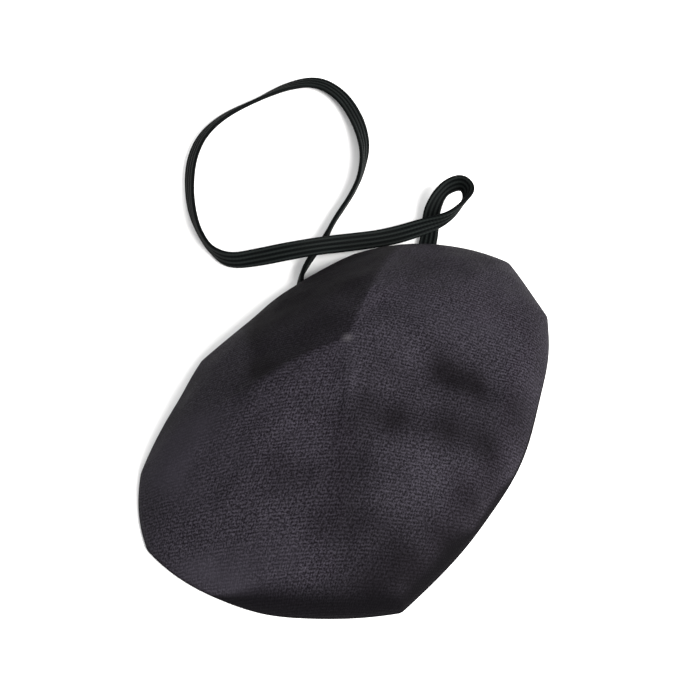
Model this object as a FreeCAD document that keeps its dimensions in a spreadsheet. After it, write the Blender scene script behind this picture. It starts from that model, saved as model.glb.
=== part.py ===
"""Moulded eye patch on a loop of flat braided elastic.

The patch is a black fabric dome: a woven cover and a soft lining on either side of a moulded
stiffener. The cover turns under the rim as a flat hem, whip stitched to the foot of the lining.
Both ends of one elastic strap pass through slits at the rim and are bar tacked on the hem.

Frame: +X along the long axis, +Y towards the strap, +Z out of the dome, which rests on its hem
at Z = 0. The origin is under the middle of the dome. Sizes are in millimetres.
"""
import FreeCAD, Part
import math
import os

import Sketcher
from FreeCAD import Placement, Rotation, Vector

UP = Vector(0, 0, 1)
SIDES = 8
LEVELS = 7

doc = FreeCAD.newDocument("eye_patch")

# ---------------------------------------------------------------- driving dimensions

# The rim is cut as eight arcs between eight corners, anticlockwise from the +X end.
# A corner's place is measured from the tip of the dome: (x, y, radius of the arc to the next).
RIM = [
    (41.4, -6.6, 32.6),
    (15.0, 22.4, 215.0),
    (-7.5, 25.9, 145.0),
    (-31.0, 20.3, 31.3),
    (-41.9, 10.2, 38.9),
    (-39.7, -13.1, 39.7),
    (-28.0, -30.1, 93.0),
    (34.5, -18.4, 58.0),
]

# The dome's profile from rim to tip: height, outline scale, and the inward and downward parts
# of a step taken square to the surface.
PROFILE = [
    (0.0, 1.000, 1.00, 0.00),
    (2.0, 0.988, 0.96, 0.25),
    (5.5, 0.925, 0.70, 0.70),
    (10.5, 0.700, 0.50, 0.87),
    (15.5, 0.400, 0.39, 0.92),
    (19.0, 0.120, 0.31, 0.95),
    (20.0, 0.020, 0.00, 1.00),
]

SIZES = {
    "tip_x": 0.7,
    "tip_y": 2.9,
    "mean_radius": 34.0,
    "cover_inside": 0.5,
    "stiffener_outside": 0.55,
    "stiffener_inside": 1.55,
    "lining_outside": 1.6,
    "lining_inside": 2.0,
    "hem_thickness": 0.5,
    "hem_inset": 5.5,
    "foot_bottom": 0.55,
    "foot_top": 0.95,
    "foot_inset": 4.8,
    "elastic_width": 3.2,
    "elastic_thickness": 0.8,
    "elastic_middle_z": 0.97,
    "slit_width": 3.5,
    "notch_width": 4.0,
    "slit_height": 0.94,
    "slit_past_tail": 0.7,
    "slit_clearance": 0.5,
    "right_tail_length": 6.6,
    "left_tail_length": 8.0,
    "thread": 0.25,
    "thread_clearance": 0.03,
    "stitch_spacing": 2.4,
    "stitch_reach": 1.7,
    "tack_spacing": 0.45,
    "right_tack_setback": 4.6,
    "left_tack_setback": 6.0,
    "tack_bars": 4,
    "right_exit_x": 38.3,
    "right_exit_y": 11.6,
    "right_exit_angle": 30.0,
    "left_exit_x": 18.9,
    "left_exit_y": 26.0,
    "left_exit_angle": 38.0,
}

for number, (x, y, radius) in enumerate(RIM, 1):
    SIZES["corner_%d_x" % number] = x
    SIZES["corner_%d_y" % number] = y
    SIZES["side_%d_radius" % number] = radius
for number, (height, scale, inward, downward) in enumerate(PROFILE):
    SIZES["level_%d_height" % number] = height
    SIZES["level_%d_scale" % number] = scale
    SIZES["level_%d_inward" % number] = inward
    SIZES["level_%d_downward" % number] = downward

sheet = doc.addObject("Spreadsheet::Sheet", "sizes")
for row, (alias, value) in enumerate(SIZES.items(), 1):
    sheet.set("A%d" % row, alias)
    sheet.set("B%d" % row, str(value))
    sheet.setAlias("B%d" % row, alias)
doc.recompute()


def size(alias):
    return float(sheet.get(alias))


# ---------------------------------------------------------------- shared helpers

sub_parts = []


def add_body(label, place=None):
    """Start a PartDesign body that becomes one sub-part."""
    body = doc.addObject("PartDesign::Body", label)
    body.Label = label
    if place is not None:
        body.Placement = place
    sub_parts.append(body)
    return body


def add_feature(label, shape, place=None):
    """Add a sub-part whose shape is made with Part functions."""
    feature = doc.addObject("Part::Feature", label)
    feature.Label = label
    feature.Shape = shape
    if place is not None:
        feature.Placement = place
    sub_parts.append(feature)
    return feature


def add_sketch(body, name):
    """Make an empty sketch on the body's own XY plane."""
    plane = next(item for item in body.Origin.OriginFeatures if item.Role == "XY_Plane")
    sketch = body.newObject("Sketcher::SketchObject", name)
    sketch.AttachmentSupport = (plane, [""])
    sketch.MapMode = "FlatFace"
    return sketch


def rim_scale(level, depth):
    """Outline scale at a profile level, a given depth under the cover's outer face."""
    return "(sizes.level_%d_scale - (%s) * sizes.level_%d_inward / sizes.mean_radius)" % (
        level, depth, level)


def rim_arc(corner, next_corner, radius):
    """Arc bulging outwards from one corner to the next, anticlockwise round the rim."""
    chord = next_corner - corner
    half = chord.Length / 2
    outward = Vector(chord.y, -chord.x, 0).normalize()
    centre = (corner + next_corner) / 2 - outward * math.sqrt(radius ** 2 - half ** 2)
    start = math.atan2(corner.y - centre.y, corner.x - centre.x)
    end = math.atan2(next_corner.y - centre.y, next_corner.x - centre.x)
    if end < start:
        end += 2 * math.pi
    return Part.ArcOfCircle(Part.Circle(centre, UP, radius), start, end)


def rim_outline(body, name, scale, height):
    """Sketch the eight-sided rim, scaled about the tip; scale and height are expressions."""
    sketch = add_sketch(body, name)
    sketch.setExpression(".AttachmentOffset.Base.z", height)
    factor = sketch.evalExpression(scale)
    corners = [Vector(x * factor, y * factor, 0) for x, y, radius in RIM]
    for side in range(SIDES):
        following = corners[(side + 1) % SIDES]
        sketch.addGeometry(rim_arc(corners[side], following, RIM[side][2] * factor))
    for side in range(SIDES):
        sketch.addConstraint(Sketcher.Constraint("Coincident", side, 2, (side + 1) % SIDES, 1))
    for side in range(SIDES):
        drivers = [
            ("DistanceX", corners[side].x, "corner_%d_x" % (side + 1)),
            ("DistanceY", corners[side].y, "corner_%d_y" % (side + 1)),
        ]
        for kind, value, alias in drivers:
            number = sketch.addConstraint(Sketcher.Constraint(kind, side, 1, value))
            sketch.setExpression("Constraints[%d]" % number, "%s * sizes.%s" % (scale, alias))
        value = RIM[side][2] * factor
        number = sketch.addConstraint(Sketcher.Constraint("Radius", side, value))
        alias = "side_%d_radius" % (side + 1)
        sketch.setExpression("Constraints[%d]" % number, "%s * sizes.%s" % (scale, alias))
    return sketch


def dome_loft(body, kind, name, depth, bottom):
    """Loft the dome's outline from rim to tip at one depth, starting at height bottom."""
    outlines = []
    for level in range(LEVELS):
        height = "sizes.level_%d_height - (%s) * sizes.level_%d_downward" % (level, depth, level)
        if level == 0:
            height = bottom
        outline = rim_outline(body, "%s_level_%d" % (name, level), rim_scale(level, depth), height)
        outlines.append(outline)
    loft = body.newObject("PartDesign::" + kind, name)
    loft.Profile = (outlines[0], [""])
    loft.Sections = [(outline, [""]) for outline in outlines[1:]]
    doc.recompute()
    return loft


def cut_opening(body, name, inset, bottom, top):
    """Cut the foot open inside the given inset from the rim."""
    outline = rim_outline(body, name + "_outline", rim_scale(0, inset), bottom)
    pocket = body.newObject("PartDesign::Pocket", name)
    pocket.Profile = outline
    pocket.Reversed = True
    pocket.setExpression("Length", "%s - %s" % (top, bottom))
    doc.recompute()
    return outline


# ---------------------------------------------------------------- the strap's two exits

tip = Vector(size("tip_x"), size("tip_y"), 0)
over_tip = Placement(tip, Rotation())


def exit_place(side):
    """Middle of the elastic where it bends; local X points out of the rim, Z up."""
    place = Vector(size(side + "_exit_x"), size(side + "_exit_y"), size("elastic_middle_z"))
    return Placement(place, Rotation(UP, size(side + "_exit_angle")))


EXITS = {"right": exit_place("right"), "left": exit_place("left")}

# The strap swings about the line through both exits, along the top face of the elastic.
hinge_line = (EXITS["right"].Base - EXITS["left"].Base).normalize()


def cut_slits(body, width):
    """Cut the two slits that the elastic's ends pass through."""
    plane = next(item for item in body.Origin.OriginFeatures if item.Role == "XY_Plane")
    for side, exit_frame in EXITS.items():
        inner_end = size(side + "_tail_length") + size("slit_past_tail")
        inner_corner = Vector(-inner_end, -size(width) / 2, -size("slit_height") / 2)
        slit = body.newObject("PartDesign::SubtractiveBox", "%s_slit_%s" % (body.Name, side))
        slit.AttachmentSupport = (plane, [""])
        slit.MapMode = "FlatFace"
        slit.setExpression("Length", "sizes.%s_tail_length + sizes.slit_past_tail"
                           " + sizes.slit_clearance" % side)
        slit.setExpression("Width", "sizes." + width)
        slit.setExpression("Height", "sizes.slit_height")
        slit.AttachmentOffset = over_tip.inverse() * exit_frame * Placement(
            inner_corner, Rotation())
        doc.recompute()


# ---------------------------------------------------------------- the layers of the dome

def make_shell(label, outside, inside, bottom, foot_top):
    """One dome-shaped layer between two depths, with a foot turned inwards at the rim."""
    body = add_body(label, over_tip)
    dome_loft(body, "AdditiveLoft", label + "_outside", outside, bottom)
    dome_loft(body, "SubtractiveLoft", label + "_inside", inside, foot_top)
    return body


cover = make_shell("cover", "0", "sizes.cover_inside", "0", "sizes.hem_thickness")
hem_edge = cut_opening(cover, "hem_opening", "sizes.hem_inset", "0", "sizes.hem_thickness")
cut_slits(cover, "slit_width")

stiffener = make_shell("stiffener_shell", "sizes.stiffener_outside", "sizes.stiffener_inside",
                       "sizes.foot_bottom", "sizes.foot_bottom")
cut_slits(stiffener, "slit_width")

lining = make_shell("lining", "sizes.lining_outside", "sizes.lining_inside",
                    "sizes.foot_bottom", "sizes.foot_top")
cut_opening(lining, "foot_opening", "sizes.foot_inset", "sizes.foot_bottom", "sizes.foot_top")
cut_slits(lining, "notch_width")


# ---------------------------------------------------------------- the elastic's sewn ends

def make_tail(side):
    """The sewn end of the elastic, lying on the hem; its outer end is cut along the hinge line."""
    body = add_body("strap_tail_" + side, EXITS[side])
    sketch = add_sketch(body, "tail_outline_" + side)
    sketch.setExpression(".AttachmentOffset.Base.z", "-sizes.elastic_thickness / 2")
    hinge = EXITS[side].Rotation.inverted().multVec(hinge_line)
    half = size("elastic_width") / 2
    outer = half * hinge.x / hinge.y
    inner = -size(side + "_tail_length")
    tail_end = "-sizes.%s_tail_length" % side
    corners = [
        (inner, -half, tail_end, "-sizes.elastic_width / 2"),
        (-outer, -half, None, "-sizes.elastic_width / 2"),
        (outer, half, None, "sizes.elastic_width / 2"),
        (inner, half, tail_end, "sizes.elastic_width / 2"),
    ]
    for number in range(4):
        start = Vector(*corners[number][:2])
        end = Vector(*corners[(number + 1) % 4][:2])
        sketch.addGeometry(Part.LineSegment(start, end))
    for number in range(4):
        following = (number + 1) % 4
        sketch.addConstraint(Sketcher.Constraint("Coincident", number, 2, following, 1))
    for number, (x, y, along, across) in enumerate(corners):
        for kind, value, driver in (("DistanceX", x, along), ("DistanceY", y, across)):
            place = sketch.addConstraint(Sketcher.Constraint(kind, number, 1, value))
            if driver:
                sketch.setExpression("Constraints[%d]" % place, driver)
    pad = body.newObject("PartDesign::Pad", "tail_pad_" + side)
    pad.Profile = sketch
    pad.setExpression("Length", "sizes.elastic_thickness")
    doc.recompute()


def make_bar_tack(side):
    """Thread staples that straddle the sewn end and hold it down on the hem."""
    thread = size("thread")
    gap = size("thread_clearance")
    half = size("elastic_width") / 2 + gap
    top = size("elastic_thickness") / 2 + gap
    hem_top = size("hem_thickness") - size("elastic_middle_z") + gap
    staples = []
    for number in range(int(size("tack_bars"))):
        along = -size(side + "_tack_setback") - number * size("tack_spacing")
        bar = Part.makeBox(thread, 2 * (half + thread), thread, Vector(along, -half - thread, top))
        for leg_side in (-half - thread, half):
            leg = Part.makeBox(thread, thread, top - hem_top, Vector(along, leg_side, hem_top))
            bar = bar.fuse(leg)
        staples.append(bar.removeSplitter())
    add_feature("bar_tack_" + side, Part.makeCompound(staples), EXITS[side])


for exit_side in EXITS:
    make_tail(exit_side)
    make_bar_tack(exit_side)


# ---------------------------------------------------------------- whip stitches round the hem

def make_rim_stitches(outline):
    """Whip stitches over the hem's inner edge and the lining's foot, clear of the elastic."""
    thread = size("thread")
    gap = size("thread_clearance")
    bar_bottom = size("foot_top") + gap
    leg = Part.makeBox(thread, thread, bar_bottom - thread, Vector(0, -thread / 2, thread))
    bar = Part.makeBox(size("stitch_reach"), thread, thread, Vector(0, -thread / 2, bar_bottom))
    stitch = leg.fuse(bar).removeSplitter()
    edge = outline.Shape.Wires[0]
    edge.translate(tip)
    count = int(edge.Length / size("stitch_spacing"))
    points = edge.discretize(Number=count + 1)[:-1]
    stitches = []
    for number in range(count):
        along = points[(number + 1) % count] - points[number - 1]
        to_rim = Vector(along.y, -along.x, 0).normalize()
        if to_rim.dot(points[number] - tip) < 0:
            to_rim = -to_rim
        place = points[number] - to_rim * (thread + gap)
        beside = [exit_frame.inverse().multVec(place) for exit_frame in EXITS.values()]
        if any(abs(offset.y) < size("notch_width") and abs(offset.x) < size("hem_inset") + size("left_tail_length")
               for offset in beside):
            continue
        turn = Rotation(UP, math.degrees(math.atan2(to_rim.y, to_rim.x)))
        copy = stitch.copy()
        copy.Placement = Placement(place, turn)
        stitches.append(copy)
    add_feature("rim_stitches", Part.makeCompound(stitches))


make_rim_stitches(hem_edge)


# ---------------------------------------------------------------- the strap

# The strap's route, from the right exit round to the left: x, y, z of its middle, and how far
# its width leans from upright towards the left of the way it runs, in degrees.
ROUTE = [
    (38.3, 11.6, 0.97, 90),
    (40.3, 12.75, 0.97, 88),
    (44.1, 14.4, 1.7, 68),
    (47.9, 14.8, 3.5, 42),
    (50.9, 12.6, 5.1, 18),
    (50.6, 8.8, 5.6, 0),
    (47.0, 7.3, 4.9, -20),
    (43.0, 9.2, 3.8, -40),
    (39.5, 12.9, 3.1, -50),
    (34.9, 17.7, 2.3, -52),
    (29.0, 22.3, 2.8, -52),
    (23.8, 25.7, 4.3, -54),
    (19.9, 29.3, 4.1, -52),
    (16.6, 33.4, 3.0, -45),
    (13.7, 37.2, 2.2, -25),
    (13.8, 41.2, 1.85, -5),
    (16.0, 45.4, 1.8, 0),
    (19.5, 49.9, 1.8, -12),
    (24.3, 54.3, 1.8, -25),
    (29.6, 57.4, 1.8, -28),
    (35.3, 59.4, 1.8, -30),
    (41.3, 59.1, 1.75, -32),
    (47.1, 56.6, 1.75, -34),
    (52.8, 53.9, 1.7, -42),
    (56.8, 50.1, 1.55, -58),
    (57.0, 44.6, 1.4, -66),
    (54.2, 39.0, 1.45, -62),
    (50.2, 34.5, 1.6, -48),
    (46.1, 31.6, 1.75, -28),
    (41.8, 29.4, 1.8, -10),
    (37.0, 28.2, 1.8, 0),
    (32.0, 28.0, 1.8, 10),
    (27.6, 27.5, 1.8, 24),
    (23.8, 27.9, 1.4, 58),
    (20.6, 27.3, 0.97, 84),
    (18.9, 26.0, 0.97, 90),
]
ARC_SHARE = 0.45
ARC_STEPS = 3


def strap_path():
    """Straight runs joined by the largest tangent arcs that they allow."""
    points = [Vector(x, y, z) for x, y, z, lean in ROUTE]
    edges = []
    radii = []
    start = points[0]
    for number in range(1, len(points) - 1):
        before = points[number - 1] - points[number]
        after = points[number + 1] - points[number]
        cut = ARC_SHARE * min(before.Length, after.Length)
        half_turn = (math.pi - before.getAngle(after)) / 2
        radius = cut / math.tan(half_turn)
        first = points[number] + before.normalize() * cut
        last = points[number] + after.normalize() * cut
        inwards = (before + after).normalize()
        middle = points[number] + inwards * (radius / math.cos(half_turn) - radius)
        edges.append(Part.LineSegment(start, first).toShape())
        edges.append(Part.Arc(first, middle, last).toShape())
        radii.append(radius)
        start = last
    edges.append(Part.LineSegment(start, points[-1]).toShape())
    return Part.Wire(edges), radii


def strap_stations(path):
    """Places along the path with their direction and the lean of the elastic's width there."""
    reached = 0.0
    stations = []
    knots = [(0.0, ROUTE[0][3])]
    for number, edge in enumerate(path.Edges):
        if number % 2:
            knots.append((reached + edge.Length / 2, ROUTE[number // 2 + 1][3]))
            for step in range(ARC_STEPS + 1):
                share = step / ARC_STEPS
                where = edge.FirstParameter + share * (edge.LastParameter - edge.FirstParameter)
                stations.append((reached + share * edge.Length, edge.valueAt(where),
                                 edge.tangentAt(where)))
        reached += edge.Length
    knots.append((reached, ROUTE[-1][3]))
    first, last = path.Edges[0], path.Edges[-1]
    stations.insert(0, (0.0, first.valueAt(first.FirstParameter), first.tangentAt(0)))
    stations.append((reached, last.valueAt(last.LastParameter), last.tangentAt(0)))
    turned = []
    for along, place, direction in stations:
        after = next(n for n, knot in enumerate(knots) if knot[0] >= along - 1e-9 and n > 0)
        low, high = knots[after - 1], knots[after]
        share = (along - low[0]) / (high[0] - low[0])
        turned.append((place, direction, low[1] + share * (high[1] - low[1])))
    return turned


def strap_section(place, direction, lean, cut_along=None):
    """Rectangle across the elastic; at an exit it is cut along the hinge line."""
    left = UP.cross(direction).normalize()
    raised = direction.cross(left)
    lean = math.radians(lean)
    width = raised * math.cos(lean) + left * math.sin(lean)
    depth = direction.cross(width).normalize() * (size("elastic_thickness") / 2)
    if cut_along is not None:
        width = cut_along * (1 / cut_along.dot(width))
    width = width * (size("elastic_width") / 2)
    return Part.makePolygon([place + width + depth, place - width + depth,
                             place - width - depth, place + width - depth,
                             place + width + depth])


def make_strap():
    """The free loop of elastic, a flat ribbon that twists as it runs."""
    path, radii = strap_path()
    stations = strap_stations(path)
    sections = [strap_section(*station) for station in stations]
    sections[0] = strap_section(*stations[0], cut_along=hinge_line)
    sections[-1] = strap_section(*stations[-1], cut_along=hinge_line)
    ribbon = Part.makeLoft(sections, True, True)
    expected = path.Length * size("elastic_width") * size("elastic_thickness")
    print("strap: length %.1f mm, volume %.1f of %.1f mm3, least radius %.1f mm" % (
        path.Length, ribbon.Volume, expected, min(radii)))
    print("strap arc radii, mm:", ", ".join("%.1f" % radius for radius in radii))
    add_feature("strap", ribbon)


make_strap()


# ---------------------------------------------------------------- checks and export

doc.recompute()
for item in doc.Objects:
    if "Invalid" in item.State or "Error" in item.State:
        raise RuntimeError("failed object: " + item.Name)
os.makedirs("parts", exist_ok=True)
for sub_part in sub_parts:
    shape = sub_part.Shape
    if shape.isNull() or not shape.isValid():
        raise RuntimeError("bad shape: " + sub_part.Label)
    shape.exportStep("parts/%s.step" % sub_part.Label)
    print("%-16s %3d solids %9.2f mm3" % (sub_part.Label, len(shape.Solids), shape.Volume))
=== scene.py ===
"""Looks of the eye patch: a creased twill dome over a felt shell, a slack lining inside it,
a turned and whip-stitched hem, and a ribbed elastic strap that loops over the table.

Lengths are in metres unless a comment says otherwise. The frame has its origin on the table
under the middle of the patch, X along the patch, Y towards the strap and Z up.
"""

import math

import bpy
import numpy as np
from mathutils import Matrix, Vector


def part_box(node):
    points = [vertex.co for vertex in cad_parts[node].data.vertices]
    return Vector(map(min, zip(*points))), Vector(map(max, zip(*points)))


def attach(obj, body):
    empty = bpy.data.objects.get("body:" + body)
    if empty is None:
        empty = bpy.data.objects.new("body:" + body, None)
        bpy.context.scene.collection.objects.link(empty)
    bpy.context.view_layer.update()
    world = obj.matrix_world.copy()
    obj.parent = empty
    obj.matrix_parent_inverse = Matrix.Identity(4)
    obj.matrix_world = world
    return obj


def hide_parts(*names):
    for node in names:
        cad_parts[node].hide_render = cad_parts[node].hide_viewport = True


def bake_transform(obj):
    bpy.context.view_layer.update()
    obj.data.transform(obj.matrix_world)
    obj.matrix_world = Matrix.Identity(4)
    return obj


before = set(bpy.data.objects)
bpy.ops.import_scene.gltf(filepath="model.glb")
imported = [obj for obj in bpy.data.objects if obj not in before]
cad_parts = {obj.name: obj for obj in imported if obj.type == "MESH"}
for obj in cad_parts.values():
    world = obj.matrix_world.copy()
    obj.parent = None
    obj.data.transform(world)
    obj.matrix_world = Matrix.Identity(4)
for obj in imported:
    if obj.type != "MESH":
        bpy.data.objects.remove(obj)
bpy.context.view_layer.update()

MM = 0.001
TIP = np.array([0.7, 2.9]) * MM
TOP = float(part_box("cover")[1][2])

# -------------------- sizes of the layers

COVER_THICK = 0.5 * MM
# How deep the stiffener's two faces and the lining's middle lie under the cover's outer face.
STIFFENER_DEPTH = (0.58 * MM, 1.45 * MM)
LINING_DEPTH = 1.95 * MM
LINING_THICK = 0.4 * MM
# The radius of the fold at the rim and how far the hem and the lining's foot reach in from it.
FOLD = 0.5 * MM
HEM = 5.5 * MM
FOOT_INSET = 4.8 * MM
FOOT_HEIGHT = 0.78 * MM
THREAD = 0.13 * MM
STITCH_STEP = 2.35 * MM
SPOKES = 540

# The rim's corners in mm from the tip, and the radius of the arc to the next corner.
RIM = [
    (41.4, -6.6, 32.6),
    (15.0, 22.4, 215.0),
    (-7.5, 25.9, 145.0),
    (-31.0, 20.3, 31.3),
    (-41.9, 10.2, 35.0),
    (-39.9, -13.3, 52.0),
    (-28.0, -30.1, 93.0),
    (34.5, -18.4, 58.0),
]

# Where each end of the strap goes in under the rim, and the way that it leaves.
EXITS = {
    "right": (np.array([38.3, 11.6]) * MM, math.radians(30)),
    "left": (np.array([18.9, 26.0]) * MM, math.radians(38)),
}
TAIL_LENGTH = {"right": 6.6 * MM, "left": 8.0 * MM}
TACK_SETBACK = {"right": 4.6 * MM, "left": 6.0 * MM}
STRAP_WIDTH = 3.2 * MM
STRAP_THICK = 0.8 * MM
STRAP_Z = 0.97 * MM
SLIT_BOTTOM = 0.52 * MM
SLIT_TOP = 1.45 * MM
# Each slit's width, how far its middle is past the exit (anticlockwise), and its top.
SLIT_SIZES = {
    "right": (3.7 * MM, 0.0, SLIT_TOP),
    "left": (2.0 * MM, 0.9 * MM, 3.4 * MM),
}


# -------------------- small helpers

def smoothstep(low, high, value):
    """0 below low, 1 above high and smooth between."""
    share = np.clip((value - low) / (high - low), 0, 1)
    return share * share * (3 - 2 * share)


def turn_gap(angles, centre):
    """How far each angle (in radians) is from a centre in degrees, the short way, in degrees."""
    return np.abs((np.degrees(angles) - centre + 180) % 360 - 180)


def bump_at(angles, centre, spread):
    """A smooth bump of height 1 at one angle round the dome; centre and spread in degrees."""
    return np.exp(-(turn_gap(angles, centre) / spread) ** 2)


def smooth_run(points, count):
    """Points along a quadratic B-spline that starts and ends at its control points."""
    points = np.array(points, float)
    spans = len(points) - 2
    along = np.linspace(0, spans, count)
    span = np.minimum(along.astype(int), spans - 1)
    share = (along - span).reshape((-1,) + (1,) * (points.ndim - 1))
    middle = points[1:-1]
    start = (points[:-2] + middle) / 2
    start[0] = points[0]
    end = (middle + points[2:]) / 2
    end[-1] = points[-1]
    bent = (1 - share) ** 2 * start[span] + 2 * share * (1 - share) * middle[span]
    return bent + share ** 2 * end[span]


def waves(x, y, wavelength, seed, count=9):
    """Smooth seeded noise over the plan, about -1 to 1, with about the given wavelength."""
    draw = np.random.default_rng(seed)
    total = np.zeros_like(x)
    for _ in range(count):
        heading = draw.uniform(0, 2 * math.pi)
        pace = 2 * math.pi / (wavelength * draw.uniform(0.75, 1.35))
        phase = draw.uniform(0, 2 * math.pi)
        total += np.sin(pace * (x * math.cos(heading) + y * math.sin(heading)) + phase)
    return total / math.sqrt(count * 2)


def new_piece(name, verts, faces, body, material):
    """A smooth mesh object that rides on a CAD body, or on none if body is None."""
    mesh = bpy.data.meshes.new(name)
    mesh.from_pydata([tuple(map(float, v)) for v in verts], [], faces)
    mesh.validate()
    mesh.polygons.foreach_set("use_smooth", [True] * len(mesh.polygons))
    mesh.materials.append(material)
    piece = bpy.data.objects.new(name, mesh)
    bpy.context.scene.collection.objects.link(piece)
    if body:
        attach(piece, body)
    return piece


def add_place(piece, places):
    """Stores each vertex's place on the flat fabric, in mm, for the weave to follow."""
    layer = piece.data.attributes.new("fabric_place", "FLOAT_VECTOR", "POINT")
    layer.data.foreach_set("vector", np.asarray(places, float).ravel())


def add_amount(piece, name, amounts):
    """Stores one number per vertex under a name."""
    layer = piece.data.attributes.new(name, "FLOAT", "POINT")
    layer.data.foreach_set("value", np.asarray(amounts, float).ravel())


# -------------------- the dome's shape

# How widely the soft outline rounds the rim's corners, in half degrees.
CORNER_BLUR = 17


def rim_table():
    """The rim's distance from the tip at each half degree, sharp and with soft corners."""
    run = []
    for number, (x, y, radius) in enumerate(RIM):
        start = np.array([x, y])
        end = np.array(RIM[(number + 1) % len(RIM)][:2])
        chord = end - start
        length = np.linalg.norm(chord)
        outward = np.array([chord[1], -chord[0]]) / length
        centre = (start + end) / 2 - outward * math.sqrt(radius ** 2 - length ** 2 / 4)
        first = math.atan2(*(start - centre)[::-1])
        sweep = 2 * math.asin(length / 2 / radius)
        for share in np.linspace(0, 1, 50, endpoint=False):
            angle = first + sweep * share
            run.append(centre + radius * np.array([math.cos(angle), math.sin(angle)]))
    run = np.array(run) * MM
    angles = np.arctan2(run[:, 1], run[:, 0]) % (2 * math.pi)
    table = np.linspace(0, 2 * math.pi, 720, endpoint=False)
    sharp = np.interp(table, angles, np.hypot(run[:, 0], run[:, 1]), period=2 * math.pi)
    steps = np.arange(-50, 51)
    weights = np.exp(-(steps / CORNER_BLUR) ** 2)
    soft = sum(np.roll(sharp, step) * weight for step, weight in zip(steps, weights)) / weights.sum()
    return table, sharp, soft


RIM_ANGLES, RIM_SHARP, RIM_SOFT = rim_table()


def rim_radius(angles, sharpness=1.0):
    """The rim's distance from the tip, with corners from soft (0) to sharp (1)."""
    sharp = np.interp(angles, RIM_ANGLES, RIM_SHARP, period=2 * math.pi)
    soft = np.interp(angles, RIM_ANGLES, RIM_SOFT, period=2 * math.pi)
    return soft + (sharp - soft) * sharpness


# The height of the dome's shoulder round the rim: angle in degrees, height in mm.
SHOULDER = [
    (10, 3.4), (40, 2.3), (56, 2.4), (106, 2.5), (147, 2.5), (168, 2.2), (184, 2.6), (200, 5.6),
    (213, 7.4), (226, 6.6), (245, 4.6), (290, 3.8), (330, 4.0),
]
# The dome's section from the tip to above the rim, as (share of the rim's distance, height in mm),
# for a shoulder 2 mm high and for one 8 mm high.
LOW_SECTION = [
    (0, 20.1), (0.05, 19.8), (0.3, 17.0), (0.58, 12.5), (0.8, 7.9), (0.93, 3.7), (0.985, 1.6),
]
HIGH_SECTION = [
    (0, 20.1), (0.05, 19.8), (0.3, 17.3), (0.58, 13.7), (0.8, 10.4), (0.965, 7.7), (1.0, 1.6),
]
SECTION_FOOT = 1.6 * MM

# Creases that run over the cover: start and end in mm from the tip, height in mm (valleys are
# negative), and how far their flanks reach to each side.
CREASES = [
    (1.5, 0.4, 32.0, 10.5, 1.05, 5.0),
    (7.0, 1.4, 27.0, 3.2, 0.50, 2.2),
    (-1.5, 1.0, -27.0, 17.5, 1.00, 5.0),
    (-11.0, 10.5, -24.0, 14.5, -0.45, 2.6),
    (9.0, -3.0, 37.0, -8.4, 0.75, 5.0),
    (-1.2, -0.9, -15.5, -12.5, 0.70, 2.2),
    (-12.0, -11.5, -33.0, -22.5, -0.70, 3.2),
    (5.0, -10.0, 14.0, -24.5, -0.80, 2.8),
    (2.0, -14.0, 13.5, -27.5, 0.60, 2.6),
    (-2.0, -6.0, -3.0, -21.0, -0.35, 4.5),
    (-13.0, -24.0, -5.0, -27.5, -0.50, 2.4),
    (-33.0, 2.0, -20.0, 0.5, 0.40, 5.0),
    (-0.3, -0.2, -12.5, -9.5, 0.30, 0.8),
    (-0.3, 0.3, -16.0, 11.0, 0.30, 0.8),
    (0.5, 0.2, 17.0, 4.2, 0.26, 0.8),
    (0.5, -0.2, 15.0, -5.0, 0.20, 0.8),
]
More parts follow.
